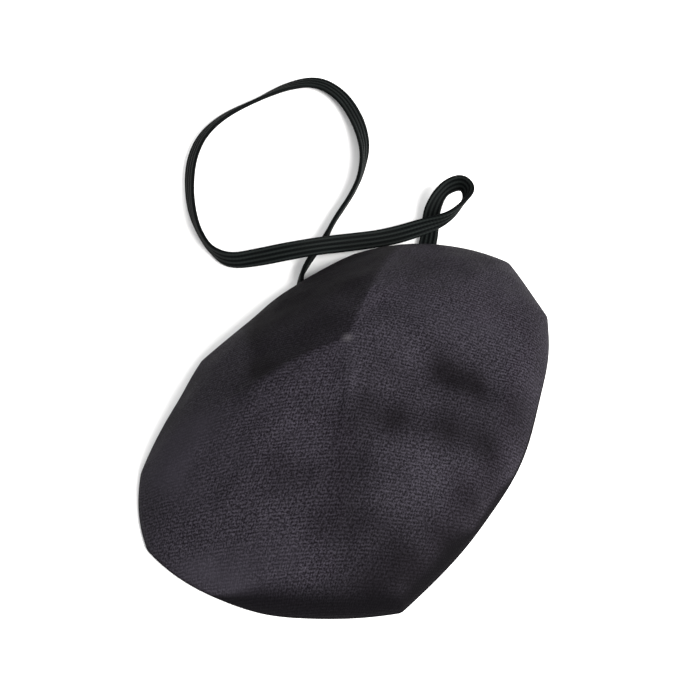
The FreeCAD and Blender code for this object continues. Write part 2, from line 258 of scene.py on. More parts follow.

# Painted light (positive) and painted shade (negative) over the cover's facets: strokes as in
# CREASES, with the amount of painted light for the height.
PAINTED_SHADING_STROKES = [
    (-8.5, -4.0, -8.0, -17.0, -0.58, 4.0),
    (-8.0, -10.0, 1.5, -24.0, -0.52, 3.8),
    (-4.8, -4.5, -13.0, -13.0, -0.22, 2.2),
    (-3.5, -17.0, 4.5, -30.0, -0.50, 3.0),
    (3.5, -9.5, 13.0, -22.5, -0.60, 2.6),
    (4.4, -11.5, 12.4, -21.0, -0.35, 1.8),
    (-13.0, -12.0, -31.0, -21.0, -0.60, 3.2),
    (2.5, -15.5, 13.5, -28.0, -0.25, 1.8),
    (8.0, -6.0, 34.0, -14.0, 0.25, 6.5),
    (-13.0, -18.5, -7.0, -28.0, 0.25, 3.5),
    (-12.0, -26.0, -6.0, -32.0, -0.35, 2.0),
    (-39.0, -2.0, -34.0, -17.0, 0.45, 2.6),
    (-43.0, 8.0, -39.5, -14.0, 0.80, 1.0),
    (24.0, 9.0, -2.0, 21.5, -0.25, 3.0),
    (-19.0, 12.0, -8.0, 7.5, -0.40, 2.0),
    (15.0, -0.5, 31.0, 0.5, -0.38, 3.0),
    (7.0, 2.2, 26.0, 6.2, 0.22, 1.2),
    (-9.0, 24.5, -29.0, 20.5, -0.50, 1.4),
    (-20.0, 18.5, -36.0, 14.5, 0.55, 2.6),
    (-39.0, 13.0, -16.0, 13.5, 0.90, 3.0),
    (-6.0, 1.5, -24.0, 12.0, 0.10, 3.0),
    (-0.5, -0.3, -13.0, -9.8, 0.30, 0.5),
    (0.5, 0.2, 19.0, 4.0, 0.25, 0.5),
    (-34.0, -27.5, -8.0, -31.0, -0.95, 3.0),
    (-14.0, -30.5, 8.0, -29.0, -0.40, 2.0),
    (2.0, -28.5, 20.0, -23.5, -0.45, 2.0),
    (22.0, -22.0, 34.0, -16.0, -0.30, 1.6),
    (-31.0, -6.5, -19.0, -4.0, -0.30, 4.0),
    (-38.0, -17.0, -27.0, -29.0, -0.60, 2.6),
    (33.0, 6.0, 39.0, -8.0, -0.25, 3.0),
    (-20.0, -8.0, -11.0, -14.0, -0.25, 4.0),
    (18.0, 8.5, 36.0, 11.0, -0.15, 3.0),
    (-22.0, -22.0, -24.0, -30.0, -0.20, 3.0),
]


def add_strokes(strokes, across, along, round_off):
    """The sum of the strokes in a list at points in mm from the tip."""
    total = np.zeros_like(across)
    for x0, y0, x1, y1, height, reach in strokes:
        length = math.hypot(x1 - x0, y1 - y0)
        way = ((x1 - x0) / length, (y1 - y0) / length)
        travel = (across - x0) * way[0] + (along - y0) * way[1]
        wander = 0.5 * np.sin(travel * 0.35 + x1)
        off = (across - x0) * way[1] - (along - y0) * way[0] + wander
        taper = smoothstep(0, 0.35 * length, travel) * smoothstep(0, 0.3 * length, length - travel)
        crest = np.sqrt(off ** 2 + round_off ** 2) - round_off
        total += height * taper * np.exp(-crest / reach)
    return total


def relief(x, y):
    """How far the cover's creases and ripples stand off the plain dome, in metres."""
    across, along = x / MM, y / MM
    total = add_strokes(CREASES, across, along, 0.35)
    distance = np.hypot(across, along)
    calm = smoothstep(1.0, 9.0, distance)
    total += calm * (0.30 * waves(across, along, 15.0, 11) + 0.13 * waves(across, along, 6.5, 12))
    total += calm * 0.035 * waves(across, along, 2.4, 13)
    return total * MM


# The raised stretch of the rim: angle and spread in degrees, and height.
LIFT_CENTRE = 312
LIFT_SPREAD = 24
LIFT_HEIGHT = 2.1 * MM


def lift(angles, share):
    """How far the rim's near right side stands off the table, in metres."""
    return LIFT_HEIGHT * bump_at(angles, LIFT_CENTRE, LIFT_SPREAD) * share ** 3


# Where the rim reaches out past its plain outline or falls short: angle, spread, mm.
REACH = [
    (283, 26, 1.45), (320, 14, 0.75), (248, 14, 0.4), (338, 14, -0.4), (70, 45, -0.45),
    (47, 11, -0.35), (66, 9, 0.35), (124, 9, -0.3), (150, 7, -0.1), (174, 14, 0.2), (198, 8, 0.35),
]


def spread_out(angles, share):
    """How far the cloth reaches out past the plain outline, in metres."""
    total = sum(reach * bump_at(angles, centre, spread) for centre, spread, reach in REACH)
    return MM * total * share ** 4


def exit_angle(side):
    """The angle from the tip at which an end of the strap passes the rim."""
    offset = EXITS[side][0] - TIP
    return math.atan2(offset[1], offset[0])


def slit_angle(side):
    """The angle from the tip at the middle of a slit."""
    centre = exit_angle(side)
    return centre + SLIT_SIZES[side][1] / float(rim_radius(centre))


def spoke_angles():
    """Even angles round the dome, with one moved onto each side of each slit."""
    angles = np.linspace(0, 2 * math.pi, SPOKES, endpoint=False)
    slits = {}
    for side in EXITS:
        centre = slit_angle(side)
        half = SLIT_SIZES[side][0] / 2 / float(rim_radius(centre))
        edges = []
        for edge in (centre - half, centre + half):
            nearest = int(np.argmin(np.abs(angles - edge)))
            angles[nearest] = edge
            edges.append(nearest)
        slits[side] = edges
    return angles, slits


ANGLES, SLITS = spoke_angles()


def hem_height(angles, inset):
    """The height of the hem's underside: small tucks, and lifted where it is stitched."""
    draw = np.random.default_rng(5)
    tucks = np.zeros_like(angles)
    most_tucks = 60
    last_tuck = 358
    for centre in np.cumsum(draw.uniform(5.5, 11.0, most_tucks)):
        if centre < last_tuck:
            tucks += draw.uniform(0.4, 1.0) * bump_at(angles, centre, 1.1)
    inner = smoothstep(0.6 * MM, HEM, inset)
    return MM * (0.28 * inner ** 2 + 0.16 * inner * np.minimum(tucks, 1.2))


def dome_stations():
    """The cover's outer face from the hem's inner edge, round the fold and up to the tip.

    Returns each station's distance from the tip and height round the dome, the share of the
    rim's distance, and the first and last station of the slits.
    """
    rim = rim_radius(ANGLES)
    rows = []
    for inset in np.linspace(HEM, FOLD, 13):
        rows.append((rim - inset, hem_height(ANGLES, np.full_like(ANGLES, inset))))
    for turn in np.radians([18, 36, 54, 72]):
        out = rim - FOLD + FOLD * math.sin(turn)
        rows.append((out, np.full_like(ANGLES, FOLD * (1 - math.cos(turn)))))
    heights = [SLIT_BOTTOM, 0.75 * MM, 1.0 * MM, 1.22 * MM, SLIT_TOP]
    first_slit = len(rows)
    last_slit = first_slit + len(heights) - 1
    at = np.degrees(ANGLES)
    shoulder = np.interp(at, *np.array(SHOULDER).T, period=360)
    steep = ((shoulder - 2) / 6)[:, None, None]
    section = (1 - steep) * np.array(LOW_SECTION) + steep * np.array(HIGH_SECTION)
    edge = section[:, -1, 0]
    for height in heights:
        share = 1 - (1 - edge) * (height - SLIT_BOTTOM) / (SECTION_FOOT - SLIT_BOTTOM)
        rows.append((rim * share, np.full_like(ANGLES, height)))
    dome = smooth_run(np.moveaxis(section, 1, 0)[::-1], 110)
    for share, height in zip(dome[..., 0], dome[..., 1]):
        sharpness = smoothstep(0.78, 1.0, share)
        rows.append((share * rim_radius(ANGLES, sharpness), height * MM))
    away = np.array([row[0] for row in rows])
    high = np.array([row[1] for row in rows])
    return away, high, away / rim, (first_slit, last_slit)


def place_on_dome(away, high, share, creased=1.0):
    """Turns distances and heights into points, with the creases and the raised side added."""
    out = away + spread_out(ANGLES, share)
    x = out * np.cos(ANGLES)
    y = out * np.sin(ANGLES)
    upper = smoothstep(1.2 * MM, 6.5 * MM, high) * (1 - smoothstep(0.93, 1.0, share))
    z = high + creased * upper * relief(x, y) + lift(ANGLES, share)
    z = np.where(high > 0.9 * TOP, np.minimum(z, TOP + 0.2 * MM), z)
    return np.stack([x + TIP[0], y + TIP[1], z], axis=-1)


def face_normals(grid, rounds):
    """The outward direction at each point of a grid round the dome, smoothed a few rounds."""
    around = np.roll(grid, -1, axis=1) - np.roll(grid, 1, axis=1)
    upward = np.gradient(grid, axis=0)
    normals = np.cross(around, upward)
    normals[-1] = (0, 0, 1)
    normals /= np.linalg.norm(normals, axis=-1, keepdims=True) + 1e-12
    for _ in range(rounds):
        normals = normals + np.roll(normals, 1, axis=1) + np.roll(normals, -1, axis=1)
        normals[1:-1] += (normals[:-2] + normals[2:]) / 3
        normals /= np.linalg.norm(normals, axis=-1, keepdims=True)
    return normals


def inside_of(grid, depth, rounds=2):
    """The grid moved inward by a depth, eased towards straight down near the tip."""
    normals = face_normals(grid, rounds)
    reach = np.hypot(grid[..., 0] - TIP[0], grid[..., 1] - TIP[1])
    near_tip = (1 - smoothstep(1.0 * MM, 6.0 * MM, reach))[..., None]
    normals = normals * (1 - near_tip) + np.array([0, 0, 1.0]) * near_tip
    normals /= np.linalg.norm(normals, axis=-1, keepdims=True)
    return grid - normals * np.asarray(depth)[..., None]


def fabric_places(grid):
    """Each point's place on the flat cloth: its path length from the tip, along its spoke."""
    steps = np.linalg.norm(np.diff(grid, axis=0), axis=-1)
    length = np.zeros(grid.shape[:2])
    length[:-1] = np.cumsum(steps[::-1], axis=0)[::-1]
    flat = np.stack([length * np.cos(ANGLES), length * np.sin(ANGLES), np.zeros_like(length)], axis=-1)
    return flat / MM


def closed_skin(outer, inner, cut=()):
    """Vertices and faces of a closed layer between two grids that end at the tip.

    cut lists (first row, last row, first spoke, last spoke) blocks that are left open, with
    their edges closed from face to face.
    """
    rows, spokes = outer.shape[:2]
    verts = np.concatenate([outer[:-1].reshape(-1, 3), inner[:-1].reshape(-1, 3)])
    verts = np.concatenate([verts, outer[-1:, 0], inner[-1:, 0]])
    inside = (rows - 1) * spokes
    outer_tip = 2 * inside
    inner_tip = outer_tip + 1

    def at(row, spoke):
        return row * spokes + spoke % spokes

    open_cells = set()
    for first_row, last_row, first_spoke, last_spoke in cut:
        for row in range(first_row, last_row):
            for spoke in range(first_spoke, last_spoke):
                open_cells.add((row, spoke % spokes))
    faces = []
    for row in range(rows - 2):
        for spoke in range(spokes):
            if (row, spoke) in open_cells:
                continue
            quad = (at(row, spoke), at(row, spoke + 1), at(row + 1, spoke + 1), at(row + 1, spoke))
            faces.append(quad)
            faces.append(tuple(inside + v for v in reversed(quad)))
    for row, spoke in open_cells:
        sides = [
            ((row - 1, spoke), at(row, spoke), at(row, spoke + 1)),
            ((row + 1, spoke), at(row + 1, spoke + 1), at(row + 1, spoke)),
            ((row, (spoke - 1) % spokes), at(row + 1, spoke), at(row, spoke)),
            ((row, (spoke + 1) % spokes), at(row, spoke + 1), at(row + 1, spoke + 1)),
        ]
        for beside, one, two in sides:
            if beside not in open_cells:
                faces.append((one, two, inside + two, inside + one))
    last = rows - 2
    for spoke in range(spokes):
        faces.append((at(last, spoke), at(last, spoke + 1), outer_tip))
        faces.append((inside + at(last, spoke + 1), inside + at(last, spoke), inner_tip))
        faces.append((at(0, spoke + 1), at(0, spoke), inside + at(0, spoke), inside + at(0, spoke + 1)))
    return verts, faces


def skin_places(outer, inner):
    """The flat-cloth places of closed_skin's vertices."""
    grids = [fabric_places(outer), fabric_places(inner)]
    tips = [grid[-1:, 0] for grid in grids]
    return np.concatenate([grids[0][:-1].reshape(-1, 3), grids[1][:-1].reshape(-1, 3)] + tips)


# -------------------- materials

class Nodes:
    """A short way to write one material's nodes."""

    def __init__(self, name):
        self.material = bpy.data.materials.new(name)
        self.material.use_nodes = True
        self.tree = self.material.node_tree
        self.shader = self.tree.nodes["Principled BSDF"]

    def add(self, kind, inputs=None, **settings):
        node = self.tree.nodes.new(kind)
        for key, value in settings.items():
            setattr(node, key, value)
        for key, value in (inputs or {}).items():
            self.join(value, node.inputs[key])
        return node

    def join(self, value, socket):
        if isinstance(value, bpy.types.NodeSocket):
            self.tree.links.new(value, socket)
        else:
            socket.default_value = value

    def math(self, operation, one, two=0.0, three=0.0):
        node = self.add("ShaderNodeMath", {0: one, 1: two, 2: three}, operation=operation)
        return node.outputs[0]

    def dot(self, vector, way):
        node = self.add("ShaderNodeVectorMath", {0: vector, 1: way}, operation="DOT_PRODUCT")
        return node.outputs["Value"]

    def noise(self, vector, scale, detail=3.0, roughness=0.5):
        inputs = {"Vector": vector, "Scale": scale, "Detail": detail, "Roughness": roughness}
        return self.add("ShaderNodeTexNoise", inputs).outputs["Fac"]

    def spread(self, value, low, high, to_low=0.0, to_high=1.0):
        inputs = {0: value, 1: low, 2: high, 3: to_low, 4: to_high}
        return self.add("ShaderNodeMapRange", inputs).outputs[0]

    def mix(self, share, one, two):
        node = self.add("ShaderNodeMix", data_type="RGBA")
        self.join(share, node.inputs[0])
        self.join(one, node.inputs[6])
        self.join(two, node.inputs[7])
        return node.outputs[2]

    def attribute(self, name):
        return self.add("ShaderNodeAttribute", attribute_name=name).outputs["Vector"]

    def amount(self, name):
        return self.add("ShaderNodeAttribute", attribute_name=name).outputs["Fac"]

    def bump(self, height, distance, strength=1.0, normal=None):
        inputs = {"Height": height, "Distance": distance, "Strength": strength}
        if normal is not None:
            inputs["Normal"] = normal
        return self.add("ShaderNodeBump", inputs).outputs["Normal"]

    def finish(self, colour, roughness, normal, **constants):
        self.join(colour, self.shader.inputs["Base Color"])
        self.join(roughness, self.shader.inputs["Roughness"])
        self.join(normal, self.shader.inputs["Normal"])
        for name, value in constants.items():
            self.shader.inputs[name.replace("_", " ")].default_value = value
        return self.material


def grey(red, green=None, blue=None):
    """A colour with its alpha."""
    return (red, red if green is None else green, red if blue is None else blue, 1.0)


# Weaves: the spacing of the threads in mm and, for the twill, the ways across ribs and yarns.
RIB_SPACING = 0.60
RIB_WAY = (0.82, 0.572)
YARN_SPACING = 0.42
YARN_WAY = (0.30, -0.954)
LINING_SPACING = 0.38
PLAIT_SPACING = 0.62
PLY_SPACING = 0.35
ELASTIC_RIBS = 4

# The cover's colours: painted shade, painted shade on the rolled edge, painted light, worn tip.
PAINTED_SHADE_DARK = grey(0.0016, 0.0012, 0.0016)
EDGE_SHADE_DARK = grey(0.0012, 0.0010, 0.0014)
PAINTED_LIGHT_PALE = grey(0.0210, 0.0190, 0.0245)
TIP_WORN = grey(0.046, 0.043, 0.047)


def twill_material():
    """Black twill: slanting ribs, yarn twist, grain, uneven fade and a worn tip, with painted light
    and shade over the dome and painted shade along the rolled edge.
    """
    n = Nodes("cover_twill")
    place = n.attribute("fabric_place")
    drift = n.noise(place, 0.03, 2.0)
    small_drift = n.noise(place, 0.45, 3.0)
    breaks = n.noise(place, 1.3, 3.0, 0.6)
    pace = 2 * math.pi / RIB_SPACING
    rib = n.dot(place, (RIB_WAY[0] * pace, RIB_WAY[1] * pace, 0))
    rib = n.math("ADD", rib, n.math("MULTIPLY", drift, 16.0))
    rib = n.math("ADD", rib, n.math("MULTIPLY", small_drift, 3.5))
    rib_wave = n.math("MULTIPLY_ADD", n.math("SINE", rib), 0.5, 0.5)
    yarn_pace = 2 * math.pi / YARN_SPACING
    yarn = n.dot(place, (YARN_WAY[0] * yarn_pace, YARN_WAY[1] * yarn_pace, 0))
    yarn = n.math("ADD", yarn, n.math("MULTIPLY", drift, 18.0))
    yarn = n.math("ADD", yarn, n.math("MULTIPLY", breaks, 5.0))
    yarn_wave = n.math("MULTIPLY_ADD", n.math("SINE", yarn), 0.5, 0.5)
    fuzz = n.noise(place, 4.0, 3.0, 0.6)
    firm = n.spread(breaks, 0.35, 0.65, 0.15, 0.85)
    weave = n.math("MULTIPLY", rib_wave, firm)
    weave = n.math("MULTIPLY_ADD", yarn_wave, 0.30, weave)
    height = n.math("MULTIPLY_ADD", fuzz, 0.7, weave)
    tone_patches = n.noise(place, 0.09, 4.0, 0.6)
    dust = n.spread(n.noise(place, 0.9, 5.0, 0.65), 0.45, 0.85)
    base = n.mix(weave, grey(0.0020, 0.0016, 0.0024), grey(0.0288, 0.0258, 0.0335))
    grain = n.noise(place, 2.6, 3.0, 0.8)
    base = n.mix(n.spread(grain, 0.50, 0.64, 0.0, 0.85), base, grey(0.0360, 0.0325, 0.0415))
    base = n.mix(n.spread(grain, 0.37, 0.50, 0.92, 0.0), base, grey(0.0014, 0.0010, 0.0016))
    base = n.mix(n.spread(tone_patches, 0.3, 0.7, 0.0, 0.25), base, grey(0.0082, 0.0074, 0.0094))
    base = n.mix(n.math("MULTIPLY", dust, 0.22), base, grey(0.028, 0.026, 0.029))
    away = n.add("ShaderNodeVectorMath", {0: place}, operation="LENGTH").outputs["Value"]
    worn = n.spread(n.math("ADD", away, n.math("MULTIPLY", fuzz, 1.2)), 0.7, 1.8, 0.70, 0.0)
    base = n.mix(worn, base, TIP_WORN)
    # Painted light and painted shade over the dome's face.
    shading_amount = n.amount("painted_shading")
    base = n.mix(n.spread(shading_amount, 0.0, 1.0, 0.0, 0.60), base, PAINTED_LIGHT_PALE)
    base = n.mix(n.spread(shading_amount, -1.0, 0.0, 0.80, 0.0), base, PAINTED_SHADE_DARK)
    # Painted shade along the rolled edge.
    base = n.mix(n.math("MULTIPLY", n.amount("painted_edge_shade"), 0.92), base, EDGE_SHADE_DARK)
    rough = n.spread(tone_patches, 0.2, 0.8, 0.62, 0.78)
    normal = n.bump(height, 0.00016, 0.55)
    sheen = {"Sheen_Weight": 0.006, "Sheen_Roughness": 0.45, "Sheen_Tint": grey(0.75, 0.73, 0.82)}
    return n.finish(base, rough, normal, Specular_IOR_Level=0.02, **sheen)


def lining_material():
    """Soft plain-woven lining, lighter and duller than the cover."""
    n = Nodes("lining_cotton")
    place = n.attribute("fabric_place")
    pace = 2 * math.pi / LINING_SPACING
    warp = n.math("SINE", n.dot(place, (pace, 0, 0)))
    weft = n.math("SINE", n.dot(place, (0, pace, 0)))
    weave = n.math("MULTIPLY_ADD", n.math("MULTIPLY", warp, weft), 0.5, 0.5)
    fuzz = n.noise(place, 4.0, 4.0, 0.65)
    height = n.math("MULTIPLY_ADD", fuzz, 0.8, weave)
    shade = n.noise(place, 0.12, 4.0)
    base = n.mix(weave, grey(0.022, 0.022, 0.024), grey(0.036, 0.036, 0.039))
    base = n.mix(n.spread(shade, 0.3, 0.7, 0, 0.5), base, grey(0.026, 0.026, 0.029))
    normal = n.bump(height, 0.00012, 0.5)
    sheen = {"Sheen_Weight": 0.25, "Sheen_Roughness": 0.6}
    return n.finish(base, 0.88, normal, Specular_IOR_Level=0.2, **sheen)


def felt_material():
    """Pressed felt: matted fibres with no weave."""
    n = Nodes("stiffener_felt")
    place = n.attribute("fabric_place")
    fibres = n.noise(place, 2.6, 6.0, 0.75)
    clumps = n.noise(place, 0.35, 4.0, 0.6)
    base = n.mix(fibres, grey(0.030, 0.030, 0.032), grey(0.075, 0.074, 0.078))
    base = n.mix(n.spread(clumps, 0.3, 0.7, 0, 0.4), base, grey(0.045, 0.044, 0.048))
    normal = n.bump(fibres, 0.0002, 0.6)
    sheen = {"Sheen_Weight": 0.3, "Sheen_Roughness": 0.7}
    return n.finish(base, 0.95, normal, Specular_IOR_Level=0.15, **sheen)


def elastic_material():
    """Braided elastic: chevrons across each rib, matt yarn, and painted highlights on the rib crests
    with painted shade in the grooves.
    """
    n = Nodes("strap_elastic")
    place = n.attribute("fabric_place")
    parts = n.add("ShaderNodeSeparateXYZ", {0: place}).outputs
    rib = n.math("PINGPONG", n.math("MULTIPLY", parts["X"], ELASTIC_RIBS * MM / STRAP_WIDTH), 0.5)
    slant = n.math("MULTIPLY_ADD", rib, 0.75, parts["Y"])
    plait_wave = n.math("SINE", n.math("MULTIPLY", slant, 2 * math.pi / PLAIT_SPACING))
    plait = n.math("MULTIPLY_ADD", plait_wave, 0.5, 0.5)
    fuzz = n.noise(place, 6.0, 3.0, 0.6)
    shade = n.noise(place, 0.18, 3.0)
    # Painted highlight on each rib's crest and painted shade in the grooves between ribs.
    base = n.mix(n.spread(rib, 0.15, 0.5), grey(0.0003, 0.0008, 0.0010), grey(0.0112, 0.0138, 0.0132))
    base = n.mix(n.math("MULTIPLY", plait, 0.25), base, grey(0.0012, 0.0017, 0.0018))
    base = n.mix(n.spread(shade, 0.3, 0.7, 0, 0.35), base, grey(0.0032, 0.0034, 0.0031))
    height = n.math("MULTIPLY_ADD", fuzz, 0.4, plait)
    rough = n.spread(fuzz, 0.3, 0.7, 0.48, 0.66)
    normal = n.bump(height, 0.00006, 0.5)
    sheen = {"Sheen_Weight": 0.004, "Sheen_Roughness": 0.4}
    return n.finish(base, rough, normal, Specular_IOR_Level=0.03, **sheen)


def thread_material():
    """Twisted black sewing thread."""
    n = Nodes("sewing_thread")
    place = n.attribute("fabric_place")
    parts = n.add("ShaderNodeSeparateXYZ", {0: place}).outputs
    twist = n.math("MULTIPLY_ADD", parts["Y"], 2 * math.pi / PLY_SPACING, parts["X"])
    ply = n.math("MULTIPLY_ADD", n.math("SINE", twist), 0.5, 0.5)
    fuzz = n.noise(place, 7.0, 2.0)
    base = n.mix(ply, grey(0.010, 0.010, 0.012), grey(0.034, 0.034, 0.037))
    height = n.math("MULTIPLY_ADD", fuzz, 0.5, ply)
    normal = n.bump(height, 0.00006, 0.6)
    return n.finish(base, 0.5, normal, Specular_IOR_Level=0.45, Sheen_Weight=0.1)


TWILL = twill_material()
LINING = lining_material()
FELT = felt_material()
ELASTIC = elastic_material()
SEWING = thread_material()


# -------------------- the strap

# The strap's route from the right exit round to the left: x, y, z, and how far its width leans
# from upright towards the left of the way it runs, in degrees (FLAT lies on the table).
FLAT = 90
ROUTE = [
    (0.0384, 0.0114, 0.00097, 90),
    (0.0403, 0.0124, 0.00100, 86),
    (0.0435, 0.0143, 0.0017, 60),
    (0.0476, 0.0148, 0.0035, 18),
    (0.0500, 0.0123, 0.0052, 24),
    (0.0486, 0.0094, 0.0057, 40),
    (0.0456, 0.0091, 0.0052, 20),
    (0.0420, 0.0098, 0.0044, 2),
    (0.0385, 0.0127, 0.0034, -34),
    (0.0337, 0.0169, 0.0023, -50),
    (0.0281, 0.0214, 0.0034, -54),
    (0.0231, 0.0249, 0.0050, -54),
    (0.0193, 0.0287, 0.0047, -52),
    (0.0160, 0.0329, 0.0033, -46),
    (0.0131, 0.0370, 0.0022, -20),
    (0.0134, 0.0413, 0.00185, 10),
    (0.0157, 0.0458, 0.0018, 2),
    (0.0195, 0.0505, 0.0018, -18),
    (0.0245, 0.0547, 0.0018, -33),
    (0.0295, 0.0577, 0.0017, -42),
    (0.0349, 0.0593, 0.0017, -49),
    (0.0411, 0.0587, 0.0017, -46),
    (0.0476, 0.0559, 0.0017, -38),
    (0.0537, 0.0535, 0.0015, -60),
    (0.0581, 0.0498, 0.0012, -80),
    (0.0578, 0.0442, 0.0012, -74),
    (0.0547, 0.0385, 0.0013, -68),
    (0.0504, 0.0338, 0.0016, -44),
    (0.0461, 0.0310, 0.00175, -12),
    (0.0415, 0.0290, 0.0018, 8),
    (0.0368, 0.0280, 0.0018, 15),
    (0.0316, 0.0274, 0.0018, 15),
    (0.0273, 0.0263, 0.0018, 10),
    (0.0239, 0.0260, 0.0019, 8),
    (0.0208, 0.0256, 0.00185, 10),
    (0.0177, 0.0249, 0.00175, 14),
]
# How far the right end runs on inward from its exit point, lying flat.
IN_SLIT = 1.7 * MM
# The left end is still nearly upright where it stops, so far out from the tip. From there the
# sewn end lies down over a short way.
LEFT_END_OUT = 25.9 * MM
LEFT_END_Z = 1.7 * MM
LEFT_END_LEAN = 16
LYING_DOWN = 2.2 * MM
# Where the right sewn end starts, inward from the exit point.
RIGHT_TAIL_START = 1.5 * MM


def exit_point(side, along):
    """A point on the strap's middle line at an exit, so far out from it (inward is negative)."""
    place, angle = EXITS[side]
    return (place[0] + along * math.cos(angle), place[1] + along * math.sin(angle), STRAP_Z)


def left_end():
    """Where the strap's left end stops, just inside its slit."""
    angle = slit_angle("left")
    x = TIP[0] + LEFT_END_OUT * math.cos(angle)
    y = TIP[1] + LEFT_END_OUT * math.sin(angle)
    return (x, y, LEFT_END_Z)


def route_line(points, resolution=14):
    """Points read from the smooth NURBS line through a route."""
    curve = bpy.data.curves.new("route_line", "CURVE")
    curve.dimensions = "3D"
    spline = curve.splines.new("NURBS")
    spline.points.add(len(points) - 1)
    for control, point in zip(spline.points, points):
        control.co = (*point[:3], 1.0)
    spline.order_u = 3
    spline.use_endpoint_u = True
    curve.resolution_u = resolution
    spline.resolution_u = resolution
    holder = bpy.data.objects.new("route_line", curve)
    bpy.context.scene.collection.objects.link(holder)
    mesh = bpy.data.meshes.new_from_object(holder)
    line = np.array([v.co[:] for v in mesh.vertices])
    bpy.data.objects.remove(holder)
    bpy.data.curves.remove(curve)
    bpy.data.meshes.remove(mesh)
    return line


def elastic_section():
    """One turn round the elastic's ribbed section, as distances across and through it."""
    half = STRAP_WIDTH / 2
    around = []
    for face in (1, -1):
        for across in np.linspace(-1, 1, 33)[:-1] * face:
            rib = abs(math.sin((across + 1) / 2 * ELASTIC_RIBS * math.pi))
            edge = (1 - abs(across) ** 7) ** 0.5
            through = face * STRAP_THICK / 2 * edge * (0.62 + 0.38 * rib ** 0.7)
            around.append((across * half, through))
    return np.array(around)


def elastic_piece(name, line, leans, body):
    """A ribbed flat elastic along a line, its width leaning as told at each point."""
    ways = np.gradient(line, axis=0)
    ways /= np.linalg.norm(ways, axis=1, keepdims=True)
    left = np.cross((0, 0, 1.0), ways)
    left /= np.linalg.norm(left, axis=1, keepdims=True)
    raised = np.cross(ways, left)
    lean = np.radians(leans)[:, None]
    width = raised * np.cos(lean) + left * np.sin(lean)
    depth = np.cross(ways, width)
    section = elastic_section()
    length = np.concatenate([[0], np.cumsum(np.linalg.norm(np.diff(line, axis=0), axis=1))])
    rings, places = [], []
    for at in range(len(line)):
        shrink = 1 - 0.012 * math.sin(length[at] / (1.9 * MM))
        ring = line[at] + shrink * section[:, :1] * width[at] + section[:, 1:2] * depth[at]
        rings.append(ring)
        places.append([(across / MM, length[at] / MM, 0) for across in section[:, 0]])
    size = len(section)
    verts = np.concatenate(rings + [line[:1], line[-1:]])
    places = np.concatenate([np.concatenate(places), [(0, 0, 0), (0, length[-1] / MM, 0)]])
    faces = []
    for ring in range(len(line) - 1):
        for corner in range(size):
            one = ring * size + corner
            two = ring * size + (corner + 1) % size
            faces.append((one, two, two + size, one + size))
    start, end = len(verts) - 2, len(verts) - 1
    last = (len(line) - 1) * size
    for corner in range(size):
        after = (corner + 1) % size
        faces.append((after, corner, start))
        faces.append((last + corner, last + after, end))
    piece = new_piece(name, verts, faces, body, ELASTIC)
    add_place(piece, places)
    return piece


def make_strap():
    """The free loop of elastic, from inside one slit to inside the other."""
    points = [(*exit_point("right", -IN_SLIT), FLAT)] + ROUTE + [(*left_end(), LEFT_END_LEAN)]
    line = route_line(points)
    spans = len(points) - 2
    knots = np.concatenate([[0], np.arange(spans) + 0.5, [spans]])
    leans = np.interp(np.linspace(0, spans, len(line)), knots, [point[3] for point in points])
    rounds = 8
    for _ in range(rounds):
        leans[1:-1] = (leans[:-2] + 2 * leans[1:-1] + leans[2:]) / 4
    strap = elastic_piece("strap_elastic", line, leans, None)
    hinge = np.array([*(EXITS["left"][0] - EXITS["right"][0]), 0])
    square = np.array([-hinge[1], hinge[0], 0]) / np.linalg.norm(hinge)
    square *= np.sign(square[0])
    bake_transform(strap)
    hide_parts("strap")
    length = float(np.linalg.norm(np.diff(line, axis=0), axis=1).sum())
    print("strap length", round(length, 4))


def make_tail(side):
    """A sewn end of the elastic, between the hem and the lining."""
    near = exit_point(side, -RIGHT_TAIL_START) if side == "right" else (*left_end()[:2], STRAP_Z)
    far = exit_point(side, -TAIL_LENGTH[side])
    count = 36
    line = np.linspace(near, far, count)
    line[:, 2] += 0.05 * MM * np.sin(np.linspace(0, 5, count))
    leans = np.full(count, float(FLAT))
    if side == "left":
        lying = smoothstep(0, LYING_DOWN, np.linalg.norm(line - line[0], axis=1))
        line[:, 2] += (LEFT_END_Z - STRAP_Z) * (1 - lying)
        leans = LEFT_END_LEAN + (FLAT - LEFT_END_LEAN) * lying
    tail = elastic_piece(f"tail_elastic_{side}", line, leans, "patch")
    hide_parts(f"strap_tail_{side}")


# -------------------- the patch

# The facet on the dome's far side that gets painted shade: the angles over which each side edge
# fades, a point on its outer end, and the way out across that end.
FACET_RIGHT = (15.5, 20.0)
FACET_LEFT = (142, 151)
FACET_END = (-14.3, 8.8)
FACET_OUT = (-0.65, 0.758)


def painted_shading(x, y):
    """Painted light and shade at each point, about -1 (darkest painted shade) to 1 (lightest
    painted light), with a little random tone on top.
    """
    across, along = x / MM, y / MM
    total = add_strokes(PAINTED_SHADING_STROKES, across, along, 2.5)
    at = np.degrees(np.arctan2(along, across)) % 360
    # Painted shade over the far-side facet that faces away from the key light.
    facet = smoothstep(*FACET_RIGHT, at) * (1 - smoothstep(*FACET_LEFT, at))
    past_end = FACET_OUT[0] * (across - FACET_END[0]) + FACET_OUT[1] * (along - FACET_END[1])
    past_end = past_end + 0.8 * waves(across, along, 7.0, 52)
    facet *= 1 - 0.95 * smoothstep(-2.0, 2.2, past_end)
    distance = np.hypot(across, along)
    total -= (0.70 + 0.26 * smoothstep(8, 20, distance)) * facet * smoothstep(0.3, 1.5, distance)
    return total + 0.16 * waves(across, along, 9.0, 51)


